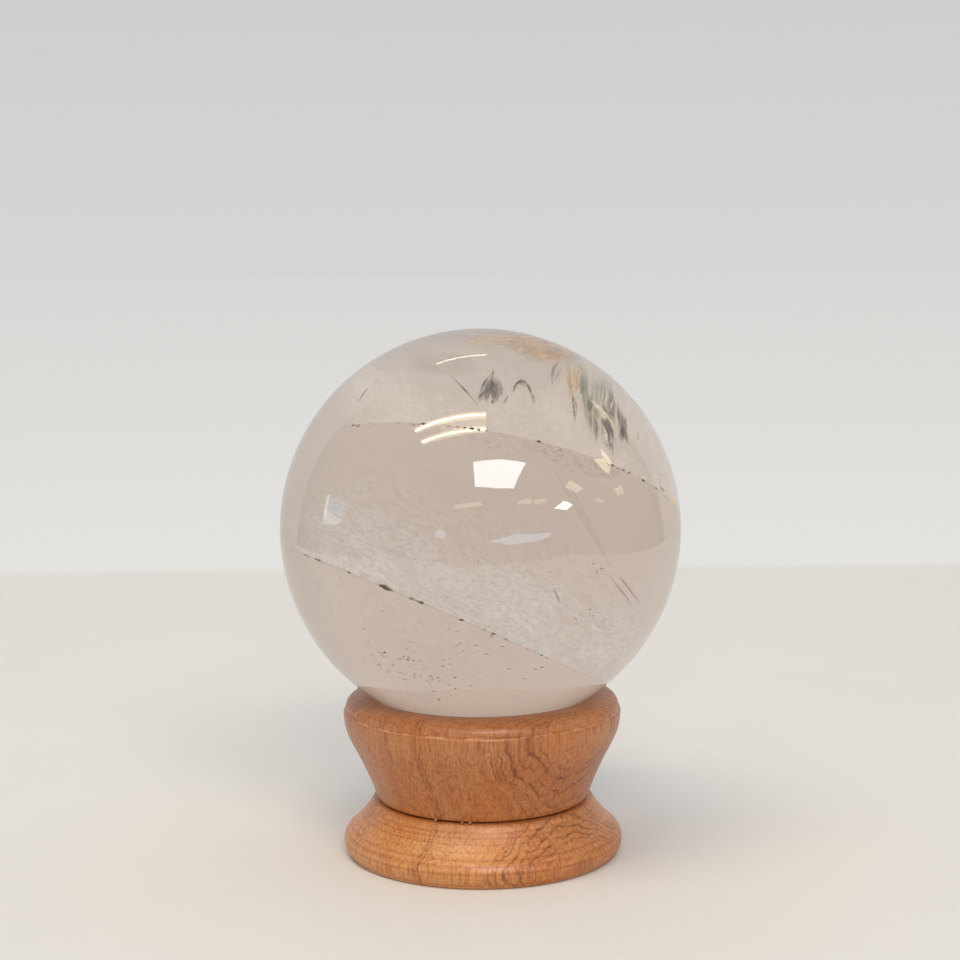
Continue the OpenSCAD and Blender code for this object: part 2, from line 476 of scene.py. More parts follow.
def polished_quartz():
    """Polished quartz. The stone's milkiness is in its tint and in a little less light let through."""
    material, tree, shader = new_material("polished_quartz")
    shader.inputs["Base Color"].default_value = (0.97, 0.95, 0.93, 1)
    shader.inputs["Roughness"].default_value = 0.0
    shader.inputs["IOR"].default_value = 1.544
    shader.inputs["Transmission Weight"].default_value = 0.94
    tint = tree.nodes.new("ShaderNodeVolumeAbsorption")
    tint.inputs["Color"].default_value = (0.565, 0.372, 0.26, 1)
    tint.inputs["Density"].default_value = 9.8
    tree.links.new(tint.outputs[0], tree.nodes["Material Output"].inputs["Volume"])
    return material


ball_mesh = bpy.data.meshes.new("quartz_ball")
shell = bmesh.new()
bmesh.ops.create_icosphere(shell, subdivisions=7, radius=BALL_R,
                           matrix=Matrix.Translation(BALL_CENTRE))
for face in shell.faces:
    face.smooth = True
shell.to_mesh(ball_mesh)
shell.free()
ball = bpy.data.objects.new("quartz_ball", ball_mesh)
bpy.context.scene.collection.objects.link(ball)
ball_mesh.materials.append(polished_quartz())
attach(ball, "root")
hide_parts("quartz_sphere")


# ---------------------------------------------------------------------------
# Healed fractures in the quartz
# ---------------------------------------------------------------------------
# The crystal cracked while it grew, and hot water healed the cracks. Each one is
# a gently waved sheet of tiny drops, seen as a white veil, and a faint haze hangs
# under the lower one. Where the grinding cut a crack, a fine line shows outside.

# The sheets end this far under the polish, so that they never cut through it.
INSIDE_R = ball_r - 0.12


def crack_plane(normal, offset):
    """The middle and two axes of the circle where a plane cuts the sphere, and its radius."""
    up = Vector(normal).normalized()
    right = (Vector((1, 0, 0)) - up.x * up).normalized()
    return up * offset, right, up.cross(right), math.sqrt(INSIDE_R ** 2 - offset ** 2)


def crack_point(plane, degrees):
    """A point on the crack, in millimetres from the sphere's centre. 270 faces the viewer."""
    middle, right, back, radius = plane
    a = math.radians(degrees)
    return middle + radius * (math.cos(a) * right + math.sin(a) * back)


def set_in_quartz(name, shell, material):
    """Makes a finished shell a piece of its own inside the stone."""
    mesh = bpy.data.meshes.new(name)
    shell.to_mesh(mesh)
    shell.free()
    mesh.materials.append(material)
    piece = bpy.data.objects.new(name, mesh)
    bpy.context.scene.collection.objects.link(piece)
    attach(piece, "root")


def sheet(name, uv_name, columns, rows, corner_at, material):
    """A smooth sheet inside the stone. corner_at turns two shares from 0 to 1 into a corner's place, in
    millimetres from the sphere's centre, and its place on the UV map."""
    shell = bmesh.new()
    uv_layer = shell.loops.layers.uv.new(uv_name)
    grid, places = [], {}
    for i in range(columns + 1):
        line = []
        for j in range(rows + 1):
            place, on_map = corner_at(i / columns, j / rows)
            vertex = shell.verts.new(BALL_CENTRE + place * MM)
            places[vertex] = on_map
            line.append(vertex)
        grid.append(line)
    for near, far in zip(grid, grid[1:]):
        for j in range(rows):
            face = shell.faces.new((near[j], far[j], far[j + 1], near[j + 1]))
            face.smooth = True
            for loop in face.loops:
                loop[uv_layer].uv = places[loop.vert]
    set_in_quartz(name, shell, material)


def crack_length(plane, arc):
    """The length of the crack on the surface between two angles, in millimetres."""
    return math.radians(arc[1] - arc[0]) * plane[3]


def fracture(name, plane, arc, rise, reach, material, seed, rows=56):
    """A waved sheet from the crack into the stone, with a UV map in millimetres: along the crack, and in from
    it. It stops short of the back by the part of the sphere's width that its reach leaves whole."""
    tilt = math.radians(rise)
    inward = Vector((0, math.cos(tilt), math.sin(tilt)))
    across = Vector((0, -math.sin(tilt), math.cos(tilt)))
    run = crack_length(plane, arc)

    def corner_at(u, share):
        first = crack_point(plane, arc[0] + (arc[1] - arc[0]) * u)
        v = share * max(0.5, -2 * first.dot(inward) - (1 - reach) * 2 * ball_r)
        swell = noise.noise(Vector((u * run * 0.09, v * 0.09, seed))) * 1.6
        ripple = noise.noise(Vector((u * run * 0.3, v * 0.3, seed + 9))) * 0.35
        place = first + inward * v + across * (swell + ripple) * min(1, v / 4)
        if place.length > INSIDE_R:
            place *= INSIDE_R / place.length
        return place, (u * run, v)

    sheet(name, "crack", columns=110, rows=rows, corner_at=corner_at, material=material)


def effect_group(name, colours, values, outputs=("Color", "Alpha")):
    """An effect for more than one material, as a shader node group. It has a named input for each colour and
    for each value, which is given with its usual amount."""
    group = bpy.data.node_groups.new(name, "ShaderNodeTree")
    for label in colours:
        group.interface.new_socket(label, in_out="INPUT", socket_type="NodeSocketColor")
    for label, usual in values.items():
        socket = group.interface.new_socket(label, in_out="INPUT", socket_type="NodeSocketFloat")
        socket.default_value = usual
    for label in outputs:
        kind = "NodeSocketColor" if label == "Color" else "NodeSocketFloat"
        group.interface.new_socket(label, in_out="OUTPUT", socket_type=kind)
    return group, group.nodes.new("NodeGroupInput").outputs, group.nodes.new("NodeGroupOutput")


def between_tones(tree, value, low, high, first, last):
    """Goes from the first colour to the last as the value goes from low to high."""
    share = add(tree, "ShaderNodeMapRange", Value=value, From_Min=low, From_Max=high)
    return blend(tree, "MIX", share.outputs["Result"], first, last)


def veil_effect():
    """Drops in soft rows that follow the crack. They fade inwards and towards both ends of the crack, and
    their reach grows from the first end by what Widens says. Run and Reach are in millimetres."""
    tree, given, group_out = effect_group("veil_effect", ("Pale", "Dark", "Line"), {
        "Run": 80, "Reach": 50, "Haze": 0.5, "Drops": 0.1, "Patch": 0.1, "Curl": 0.5, "Seed": 0,
        "Flow": 1.0, "Streak": 0.35, "Furrows": 0.85, "Widens": 1.0, "First End": 0.1, "Last End": 0.1,
        "Cut": 0.26})

    def times(a, b):
        return math_node(tree, "MULTIPLY", a, b)

    uv = add(tree, "ShaderNodeUVMap", {"uv_map": "crack"}).outputs["UV"]
    parts = add(tree, "ShaderNodeSeparateXYZ", Vector=uv)
    along, deep = parts.outputs["X"], parts.outputs["Y"]
    elsewhere = vector_node(tree, "SCALE", (7.3, 3.1, 1.0), scale=given["Seed"])
    moved = vector_node(tree, "ADD", uv, elsewhere)
    shifted = vector_node(tree, "MULTIPLY", moved, (1.0, 0.42, 1.0))
    clouds = add(tree, "ShaderNodeTexNoise", Vector=shifted, Scale=given["Patch"], Detail=4.0,
                 Roughness=0.55)
    cloud = soft_step(tree, clouds.outputs["Fac"], 0.36, 0.66)
    flow = add(tree, "ShaderNodeCombineXYZ", X=given["Flow"], Y=1.0, Z=1.0)
    flowing = vector_node(tree, "MULTIPLY", shifted, flow.outputs[0])
    rows = add(tree, "ShaderNodeTexNoise", Vector=flowing, Scale=given["Curl"], Detail=4.0, Roughness=0.6,
               Distortion=times(given["Flow"], 0.8))
    row = soft_step(tree, rows.outputs["Fac"], 0.38, 0.64)
    beads = add(tree, "ShaderNodeTexNoise", Vector=shifted, Scale=1.5, Detail=3.0, Roughness=0.7)
    bead = soft_step(tree, beads.outputs["Fac"], 0.40, 0.66)
    reach, run = given["Reach"], given["Run"]
    swing = times(math_node(tree, "SUBTRACT", clouds.outputs["Fac"], 0.5), times(reach, 0.8))
    growth = soft_step(tree, along, 0.0, times(run, 0.45), given["Widens"], 1.0)
    far = math_node(tree, "DIVIDE", math_node(tree, "ADD", deep, swing), growth)
    fade_in = soft_step(tree, far, times(reach, 0.30), times(reach, 0.95), 1.0, 0.0)
    left = soft_step(tree, along, 0.0, times(run, given["First End"]))
    last_end = times(run, math_node(tree, "SUBTRACT", 1.0, given["Last End"]))
    right = soft_step(tree, along, last_end, run, 1.0, 0.0)
    fade = times(fade_in, times(left, right))
    haze = math_node(tree, "MULTIPLY_ADD", cloud, times(given["Haze"], 0.6), times(given["Haze"], 0.4))
    plain = math_node(tree, "MULTIPLY_ADD", given["Streak"], -0.5, 0.95)
    mist = times(haze, math_node(tree, "MULTIPLY_ADD", row, given["Streak"], plain))
    drops = math_node(tree, "MULTIPLY_ADD", row, times(given["Drops"], 0.7), times(given["Drops"], 0.3))
    grain = times(times(bead, drops), math_node(tree, "ADD", cloud, 0.25))
    body = times(math_node(tree, "ADD", mist, grain), fade)
    # The cut edge at the surface is a fine brown line, broken here and there.
    breaks = stripes(tree, along, 4.0, scale=0.45)
    edge = soft_step(tree, deep, 0.10, 0.55, 1.0, 0.0)
    trace = times(edge, soft_step(tree, breaks, 0.42, 0.66, 0.0, given["Cut"]))
    wire(tree, group_out, "Alpha", math_node(tree, "MAXIMUM", body, trace))
    furrow = ramp(tree, rows.outputs["Fac"], [
        (0.36, 0), (0.41, 1), (0.46, 0), (0.52, 0), (0.57, 1), (0.62, 0)])
    colour = blend(tree, "MIX", times(furrow, given["Furrows"]), given["Pale"], given["Dark"])
    wire(tree, group_out, "Color", blend(tree, "MIX", edge, colour, given["Line"]))
    return tree


def thin_film(name, effect, glow, roughness=0.8, gloss=0.0, **values):
    """A material for a film in the stone, with its own values for the effect, and colours as (red, green,
    blue). A glow over 0 is painted light: the film glows in its own colour, however it is lit."""
    material, tree, shader = new_material(name)
    look = add(tree, "ShaderNodeGroup", {"node_tree": effect})
    for label, value in values.items():
        wire(tree, look, label.replace("_", " "), (*value, 1) if isinstance(value, tuple) else value)
    wire(tree, shader, "Base Color", look.outputs["Color"])
    wire(tree, shader, "Alpha", look.outputs["Alpha"])
    if glow > 0:
        wire(tree, shader, "Emission Color", look.outputs["Color"])
        shader.inputs["Emission Strength"].default_value = glow
    shader.inputs["Roughness"].default_value = roughness
    shader.inputs["Specular IOR Level"].default_value = gloss
    return material


veil_drops = veil_effect()
BROWN_LINE = tone(190, 166, 146)


def veil(name, plane, arc, glow, **values):
    """The veil of one crack, as long as its arc."""
    return thin_film(name, veil_drops, glow, Run=crack_length(plane, arc), **values)


# Each crack lies in a plane, given by its upward direction and its height over the sphere's centre. The
# arcs are the part of its circle that each sheet starts from. A tilt over 0 rises as it goes in.
upper_crack = crack_plane((0.18, 0.41, 0.90), 0.18 * ball_r)
lower_crack = crack_plane((0.40, 0.20, 0.89), -0.48 * ball_r)
upper_arc, upper_tilt = (222, 350), 9
lower_arc, lower_tilt = (199, 352), 20
short_arc, short_tilt = (246, 345), -34
cap_arc, cap_tilt = (203, 300), -40

# Each veil glows a little with painted light, by the glow given here.
veil_upper = veil(
    "veil_upper", upper_crack, upper_arc, glow=0.34, Reach=50, Haze=0.59, Drops=0.04, Seed=1,
    Pale=tone(240, 236, 228), Dark=tone(234, 228, 218), Line=tone(220, 208, 196),
    Patch=0.07, Curl=0.22, First_End=0.10, Last_End=0.07, Streak=0.1, Cut=0.07)
fracture("upper_fracture", upper_crack, upper_arc, upper_tilt, 0.91, veil_upper, seed=1)

veil_lower = veil(
    "veil_lower", lower_crack, lower_arc, glow=0.34, Reach=54, Haze=0.72, Drops=0.10, Seed=2,
    Pale=tone(232, 236, 238), Dark=tone(190, 182, 170), Line=BROWN_LINE, Patch=0.08, Curl=0.55,
    First_End=0.22, Last_End=0.17, Streak=0.14, Flow=0.5, Furrows=0.64, Widens=0.12)
fracture("lower_fracture", lower_crack, lower_arc, lower_tilt, 0.77, veil_lower, seed=2)

veil_short = veil(
    "veil_short", upper_crack, short_arc, glow=0.12, Reach=17, Haze=0.12, Drops=0.45, Seed=3,
    Pale=tone(204, 180, 174), Dark=tone(150, 124, 116), Line=BROWN_LINE,
    Patch=0.2, Curl=0.9, First_End=0.5, Last_End=0.1, Cut=0.0)
fracture("short_fracture", upper_crack, short_arc, short_tilt, 0.28, veil_short, seed=3, rows=30)

veil_cap = veil(
    "veil_cap", lower_crack, cap_arc, glow=0.3, Reach=24, Haze=0.3, Drops=0.12, Seed=4,
    Pale=tone(232, 226, 216), Dark=tone(196, 182, 168), Line=BROWN_LINE, Patch=0.16, Curl=0.4,
    First_End=0.3, Last_End=0.4, Streak=0.8, Flow=0.5, Furrows=0.5, Cut=0.0)
fracture("cap_fracture", lower_crack, cap_arc, cap_tilt, 0.95, veil_cap, seed=4, rows=40)


# ---------------------------------------------------------------------------
# Iron specks
# ---------------------------------------------------------------------------
# Grains of brown iron oxide sit along both cracks, just under the polish, and
# fainter ones lie loose low on the left. Each is a small uneven lump that grew
# in the stone, a tenth of a millimetre to nearly two long.

def mottled_oxide():
    """Patches of three tones, as light comes through a thin grain in places."""
    tree, given, group_out = effect_group("mottled_oxide", ("Dark", "Brown", "Pale"), {}, ("Color",))
    spots = add(tree, "ShaderNodeTexNoise", Vector=surface_mm(tree), Scale=2.6, Detail=3.0).outputs["Fac"]
    colour = between_tones(tree, spots, 0.38, 0.52, given["Dark"], given["Brown"])
    wire(tree, group_out, "Color", between_tones(tree, spots, 0.52, 0.66, colour, given["Pale"]))
    return tree


oxide_tones = mottled_oxide()


def iron_grain(name, dark, brown, pale):
    """Iron oxide with the sheen of a polished grain."""
    material, tree, shader = new_material(name)
    look = add(tree, "ShaderNodeGroup", {"node_tree": oxide_tones}, Dark=(*dark, 1), Brown=(*brown, 1),
               Pale=(*pale, 1))
    wire(tree, shader, "Base Color", look.outputs["Color"])
    shader.inputs["Roughness"].default_value = 0.35
    return material


grains, grains_in, grains_out = new_tree("grains", [
    ("Unevenness", "NodeSocketFloat"),
    ("Seed", "NodeSocketInt"),
    ("Material", "NodeSocketMaterial"),
])
points = add(grains, "GeometryNodeMeshToPoints", Mesh=grains_in.outputs["Geometry"])
lump = add(grains, "GeometryNodeMeshIcoSphere", Radius=MM, Subdivisions=2)
rough_place = add(grains, "GeometryNodeInputPosition").outputs[0]
rough = add(grains, "ShaderNodeTexNoise", Vector=rough_place, Scale=900.0, Detail=1.0)
unevenness = math_node(grains, "MULTIPLY", math_node(grains, "SUBTRACT", rough.outputs["Fac"], 0.5),
                       grains_in.outputs["Unevenness"])
bulge = vector_node(grains, "SCALE", rough_place, scale=unevenness)
lumpy = add(grains, "GeometryNodeSetPosition", Geometry=lump.outputs["Mesh"], Offset=bulge)
turn_any = add(grains, "FunctionNodeRandomValue", {"data_type": "FLOAT_VECTOR"},
               Seed=grains_in.outputs["Seed"])
turn_any.inputs["Max"].default_value = (0.5, 0.5, 0.5)
size = add(grains, "GeometryNodeInputNamedAttribute", {"data_type": "FLOAT_VECTOR"}, Name="size")
laid = add(grains, "GeometryNodeInstanceOnPoints", Points=points.outputs["Points"],
           Instance=lumpy.outputs[0], Rotation=turn_any.outputs["Value"], Scale=size.outputs["Attribute"])
finish_tree(grains, grains_out, laid.outputs[0], grains_in.outputs["Material"])

rust = iron_grain("iron_oxide", tone(46, 32, 20), tone(104, 76, 50), tone(160, 128, 74))
faint_rust = iron_grain("faint_oxide", tone(112, 84, 68), tone(150, 120, 102), tone(182, 156, 138))
spread = random.Random(11)
LEAST_HALF = 0.05


def lay_grains(name, grains_list, seed, material):
    """Lays one grain at each place, in millimetres from the sphere's centre, with its three half sizes."""
    mesh = bpy.data.meshes.new(name + "_places")
    mesh.from_pydata([BALL_CENTRE + place * MM for place, half in grains_list], [], [])
    sizes = mesh.attributes.new("size", "FLOAT_VECTOR", "POINT")
    for item, (place, half) in zip(sizes.data, grains_list):
        item.vector = half
    piece = grow(name, mesh, grains, {"Unevenness": 1.2, "Seed": seed, "Material": material})
    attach(piece, "root")


def crack_grains(plane, named, start, end, count, largest, under):
    """The grains on one crack: the named ones as (degrees, half length), and smaller ones at random. The
    named ones lie at the crack's circle times under, so that they come just to the polish."""
    found = [(crack_point(plane, a) * under, (half, 0.5 * half, 0.45 * half)) for a, half in named]
    for _ in range(count):
        a = start + (end - start) * spread.random()
        half = LEAST_HALF + largest * spread.random() ** 4
        place = crack_point(plane, a) * (0.992 - 0.02 * spread.random() ** 2)
        found.append((place, (half, half * 0.7, half * 0.6)))
    return found


upper_named = [
    (229.7, 0.26), (232.0, 0.18), (236, 0.18), (245, 0.20), (252.6, 0.40), (260, 0.20), (262.1, 0.26),
    (264.2, 0.28), (266.1, 0.42), (268.0, 0.36), (269.9, 0.24), (284.3, 0.40), (307.1, 0.36),
    (311.2, 0.30), (313.5, 0.26), (319.6, 0.36), (326.3, 0.26)]
upper_found = crack_grains(upper_crack, upper_named, 226, 345, count=64, largest=0.16, under=1.002)
lay_grains("upper_grains", upper_found, seed=1, material=rust)
lower_named = [
    (206.3, 0.22), (217, 0.34), (219, 0.26), (223.6, 0.34), (225.2, 0.42), (238.6, 0.38), (251.0, 0.55),
    (252.4, 0.85), (253.8, 0.5), (261.1, 0.42), (262.6, 0.26), (264.2, 0.52), (277.4, 0.40), (285.0, 0.24),
    (288.0, 0.40), (292.5, 0.28), (300.5, 0.2), (306.0, 0.30), (308.4, 0.24), (322.1, 0.22)]
lower_found = crack_grains(lower_crack, lower_named, 203, 348, count=44, largest=0.14, under=0.996)
lay_grains("lower_grains", lower_found, seed=2, material=rust)

# The largest loose grains stand on their own, then a swarm low on the left, then two small clusters.
loose = [(Vector(place), (half, half * 0.8, half * 0.6)) for place, half in [
    ((-14.2, -17.7, -15.7), 0.26), ((-10.8, -18.8, -16.6), 0.28), ((-17.2, -17.6, -12.2), 0.16),
    ((-16.6, -16.9, -14.2), 0.15), ((-3.9, -19.0, -19.3), 0.22), ((-3.9, -17.5, -21.2), 0.20)]]
loose_count = 330
for _ in range(loose_count):
    across = spread.gauss(-9, 8)
    place = Vector((across, -19 + spread.gauss(0, 3.5), -17.5 + 0.12 * across + spread.gauss(0, 3.6)))
    if place.length < INSIDE_R - 1 and place.z > -27:
        half = LEAST_HALF + 0.12 * spread.random() ** 4
        loose.append((place, (half * (1.2 + spread.random()), half * 0.6, half * 0.5)))
for near_to, reach, count in [((16.1, -19.1, -10.4), 1.1, 22), ((17.1, -20.0, -2.9), 0.7, 12)]:
    for _ in range(count):
        place = Vector(near_to) + Vector([spread.gauss(0, reach) for _ in range(3)])
        half = LEAST_HALF + 0.09 * spread.random() ** 2
        if place.length < INSIDE_R - 1:
            loose.append((place, (half * 1.5, half * 0.7, half * 0.6)))
lay_grains("loose_grains", loose, seed=3, material=faint_rust)


# ---------------------------------------------------------------------------
# Feather plumes
# ---------------------------------------------------------------------------
# In the upper right and upper middle, thin open gaps between growth layers are
# filled with grey and green clay, and some only with air. They look like dark
# feathers with silver and gold barbs, which grew upwards from the upper crack.
# All of them glow a little with painted light, and the silver barbs are a painted
# reflection: air gaps painted pale for the light that they mirror.

def barb_effect():
    """The film of a barb. Each barb has its own shade between two colours, and is thinner in patches."""
    tree, given, group_out = effect_group("barb_effect", ("First", "Last"), {"Cover": 0.5})
    point = surface_mm(tree)
    shade = add(tree, "ShaderNodeAttribute", {"attribute_name": "shade"}).outputs["Fac"]
    spots = add(tree, "ShaderNodeTexNoise", Vector=point, Scale=1.3, Detail=3.0)
    change = math_node(tree, "MULTIPLY", math_node(tree, "SUBTRACT", spots.outputs["Fac"], 0.5), 0.9)
    level = math_node(tree, "ADD", shade, change)
    wire(tree, group_out, "Color", between_tones(tree, level, 0.15, 0.85, given["First"], given["Last"]))
    elsewhere = vector_node(tree, "ADD", point, (40, 0, 0))
    thin = add(tree, "ShaderNodeTexNoise", Vector=elsewhere, Scale=1.0, Detail=3.0)
    thick = soft_step(tree, thin.outputs["Fac"], 0.32, 0.55, 0.45, 1.0)
    wire(tree, group_out, "Alpha", math_node(tree, "MULTIPLY", thick, given["Cover"]))
    return tree


barb_film = barb_effect()


def feather(name, first, last, cover, glow):
    """Clay or air in a thin gap, from the first colour to the last, glowing with painted light."""
    return thin_film(name, barb_film, glow, First=first, Last=last, Cover=cover)


upper_rise = math.tan(math.radians(upper_tilt))
upper_edge = [crack_point(upper_crack, a) for a in range(215, 358, 2)]


def over_fracture(place, focus, clear):
    """Moves a point away from the focus until it is clear of the upper fracture, on which the plumes grew."""
    step = (Vector(place) - Vector(focus)).normalized() * 0.2
    place = Vector(place)
    most_steps = 90
    for _ in range(most_steps):
        edge = min(upper_edge, key=lambda point: abs(point.x - place.x))
        if place.z > edge.z + (place.y - edge.y) * upper_rise + clear:
            break
        place += step
    return place


def plumes(name, groups, material, seed, focus=(5, 35.5, 0), clear=0.5):
    """Each group is a fan of bowed barbs, pointed at both ends. It has a start, an end, how wide the fan is
    at each, the number of barbs and their half width, in millimetres from the sphere's centre."""
    joints = 12
    shell = bmesh.new()
    shade = shell.verts.layers.float.new("shade")
    for number, (start, end, start_w, end_w, count, half) in enumerate(groups):
        draw = random.Random(100 * seed + number)
        start, end = over_fracture(start, focus, clear), over_fracture(end, focus, clear)
        run = end - start
        side = run.cross(Vector((0, 1, 0))).normalized()
        for _ in range(count):
            where = draw.uniform(-0.5, 0.5)
            low = draw.uniform(0.0, 0.3)
            high = draw.uniform(0.65, 1.0)
            depth = Vector((0, draw.uniform(-0.3, 0.1), 0))
            first, last = [
                start + run * share + side * where * (start_w + (end_w - start_w) * share) + depth
                for share in (low, high)]
            bow = side * draw.uniform(-0.06, 0.06) * run.length
            wide = half * draw.uniform(0.6, 1.4)
            tint = draw.random()
            edges = []
            for i in range(joints + 1):
                t = i / joints
                middle = first.lerp(last, t) + bow * math.sin(math.pi * t)
                reach = side * wide * (0.04 + math.sin(math.pi * t) ** 0.8)
                pair = [shell.verts.new(BALL_CENTRE + (middle + way * reach) * MM) for way in (-1, 1)]
                for vertex in pair:
                    vertex[shade] = tint
                edges.append(pair)
            for near, far in zip(edges, edges[1:]):
                shell.faces.new((near[0], near[1], far[1], far[0])).smooth = True
    set_in_quartz(name, shell, material)


plumes("centre_feathers", [
    ((1.1, -4.2, 16.8), (1.95, -0.8, 19.8), 3.0, 0.6, 36, 0.09),
    ((1.5, -3.6, 17.3), (2.0, -1.6, 19.1), 1.8, 0.9, 22, 0.08),
    ((1.7, -1.2, 19.4), (1.95, -0.2, 20.3), 0.25, 0.1, 7, 0.08),
    ((0.1, -3.3, 17.6), (1.2, -1.2, 19.4), 0.5, 0.25, 8, 0.09),
    ((-0.3, -4.4, 16.7), (1.2, -2.6, 18.2), 0.6, 0.6, 12, 0.09),
    ((0.6, -4.4, 16.6), (1.7, -2.7, 18.0), 0.6, 0.5, 9, 0.09),
    ((1.7, -2.9, 17.8), (1.75, -1.3, 19.2), 0.25, 0.3, 5, 0.1),
    ((2.4, -3.0, 17.6), (2.3, -1.0, 19.5), 0.7, 0.5, 10, 0.1),
    ((2.1, -4.3, 16.5), (2.2, -2.6, 18.1), 0.5, 0.6, 8, 0.08),
    ((2.7, -3.6, 17.0), (2.9, -1.5, 18.9), 0.35, 0.12, 6, 0.08),
    ((1.6, -4.35, 16.45), (1.85, -3.95, 16.85), 0.05, 0.05, 4, 0.25),
    ((3.0, -4.3, 16.3), (3.75, -2.9, 17.5), 0.15, 0.15, 5, 0.09),
    ((4.1, -2.8, 17.5), (4.9, -1.3, 18.9), 0.12, 0.2, 6, 0.09),
    ((4.4, -1.9, 18.3), (5.5, -1.1, 19.1), 0.5, 0.7, 9, 0.12),
    ((4.8, -1.4, 18.8), (6.2, -1.6, 18.5), 0.9, 0.8, 11, 0.13),
    ((5.7, -1.2, 18.9), (6.5, -2.7, 17.2), 0.3, 0.3, 9, 0.11),
    ((6.3, -2.3, 17.6), (6.95, -3.8, 16.2), 0.35, 0.2, 8, 0.11),
], feather("slate_clay", tone(86, 86, 92), tone(172, 164, 154), cover=0.54, glow=0.1),
    seed=1, focus=(0.7, 51, -3.5))
plumes("slate_feathers", [
    ((15.6, 6.3, 15.9), (16.0, 0.6, 12.9), 1.3, 2.2, 34, 0.19),
    ((14.7, 2.9, 14.8), (15.4, 1.2, 13.4), 0.8, 1.2, 8, 0.2),
    ((14.9, 0.9, 13.9), (16.3, -3.2, 11.0), 1.4, 2.9, 38, 0.2),
    ((15.0, -0.4, 12.9), (15.9, -4.0, 10.4), 0.8, 1.2, 10, 0.15),
    ((17.0, 1.9, 12.7), (17.4, -0.6, 11.0), 1.1, 1.7, 18, 0.2),
    ((16.9, 4.2, 14.0), (17.3, -0.6, 11.4), 1.0, 1.4, 18, 0.16),
    ((15.9, -2.3, 11.6), (16.6, -4.4, 10.3), 1.4, 1.3, 12, 0.1),
], feather("blue_slate", tone(96, 96, 106), tone(170, 160, 146), cover=0.45, glow=0.14), seed=2)
plumes("green_feathers", [
    ((12.2, 8.4, 19.6), (13.0, -0.6, 15.0), 2.6, 1.8, 30, 0.2),
    ((13.6, 10.6, 19.0), (13.9, -4.4, 12.2), 4.2, 0.9, 46, 0.2),
    ((15.0, 9.8, 17.6), (15.0, 0.0, 13.8), 4.2, 2.4, 42, 0.2),
    ((13.4, 1.2, 15.1), (14.0, -4.6, 12.1), 1.8, 0.6, 20, 0.17),
    ((16.4, 5.6, 14.8), (16.9, 0.4, 12.0), 1.4, 1.6, 16, 0.18),
    ((12.6, 6.4, 18.1), (13.4, -3.4, 13.3), 1.8, 1.2, 22, 0.17),
], feather("green_clay", tone(164, 166, 144), tone(210, 206, 184), cover=0.16, glow=0.34), seed=3)
plumes("dark_green_feathers", [
    ((12.7, 5.4, 17.8), (12.4, 0.6, 15.9), 0.5, 0.7, 7, 0.13),
    ((13.4, 2.6, 15.9), (13.5, -1.4, 14.1), 0.7, 0.7, 12, 0.14),
    ((14.2, 2.0, 15.0), (14.4, -1.8, 13.1), 0.5, 0.6, 8, 0.13),
    ((14.0, -0.2, 14.0), (14.4, -4.4, 11.7), 0.8, 0.4, 10, 0.14),
    ((12.3, 7.6, 19.2), (12.9, 4.5, 17.4), 0.7, 0.5, 4, 0.12),
], feather("dark_green_clay", tone(116, 116, 96), tone(166, 160, 136), cover=0.38, glow=0.1), seed=4)
plumes("grey_feathers", [
    ((9.9, 4.8, 19.9), (9.3, -0.8, 18.1), 0.9, 0.5, 12, 0.1),
    ((9.4, 0.6, 18.6), (9.5, -1.7, 17.5), 0.2, 0.1, 2, 0.1),
    ((19.6, 3.0, 12.2), (19.4, 0.8, 11.0), 0.7, 0.5, 4, 0.16),
], feather("grey_clay", tone(150, 140, 120), tone(184, 172, 152), cover=0.3, glow=0.1), seed=5)
# Painted reflection: these air gaps are painted pale and glowing, for the light that they mirror.
plumes("bright_gaps", [
    ((13.5, 1.7, 15.4), (16.8, -0.3, 11.8), 0.5, 0.5, 30, 0.16),
    ((13.7, 1.6, 15.3), (15.3, 0.6, 13.8), 0.4, 0.5, 12, 0.15),
    ((14.9, 5.4, 16.0), (14.8, 2.3, 14.7), 0.3, 0.2, 4, 0.07),
    ((15.4, 6.3, 16.0), (15.2, 2.2, 14.3), 0.25, 0.2, 5, 0.07),
    ((16.2, 5.6, 15.0), (15.6, 2.2, 13.8), 0.15, 0.2, 3, 0.08),
    ((15.2, -0.4, 13.1), (15.5, -3.8, 10.9), 0.4, 0.4, 6, 0.13),
    ((1.3, -3.9, 17.0), (2.0, -2.2, 18.5), 0.2, 0.1, 3, 0.08),
    ((1.5, -1.6, 18.9), (1.9, -0.6, 19.9), 0.2, 0.1, 2, 0.09),
], feather("bright_gap", tone(216, 212, 194), tone(244, 240, 224), cover=0.8, glow=0.3), seed=6, clear=1.3)
plumes("gold_feathers", [
    ((10.8, 6.8, 19.9), (11.5, -2.0, 15.8), 0.12, 0.1, 12, 0.09),
    ((12.3, 7.2, 19.2), (12.0, 0.6, 16.2), 0.6, 0.4, 12, 0.09),
    ((11.7, 6.4, 19.2), (11.9, -1.4, 16.0), 1.2, 0.7, 14, 0.07),
    ((15.6, 5.6, 15.3), (16.0, 1.5, 13.2), 0.15, 0.1, 4, 0.1),
    ((16.2, 5.6, 14.9), (16.1, 1.2, 13.0), 0.2, 0.1, 4, 0.1),
    ((16.3, 3.6, 14.3), (15.9, -0.8, 12.2), 0.3, 0.2, 5, 0.12),
    ((17.6, 1.8, 12.2), (18.0, 0.0, 11.0), 0.4, 0.3, 6, 0.13),
    ((27.2, -9.8, 10.3), (28.1, -10.0, 7.4), 0.2, 0.2, 3, 0.12),
    ((28.4, -9.7, 6.7), (30.0, -6.0, 4.7), 0.3, 0.2, 4, 0.13),
], feather("gold_gap", tone(208, 176, 118), tone(240, 222, 178), cover=0.5, glow=0.24), seed=7, clear=0.9)
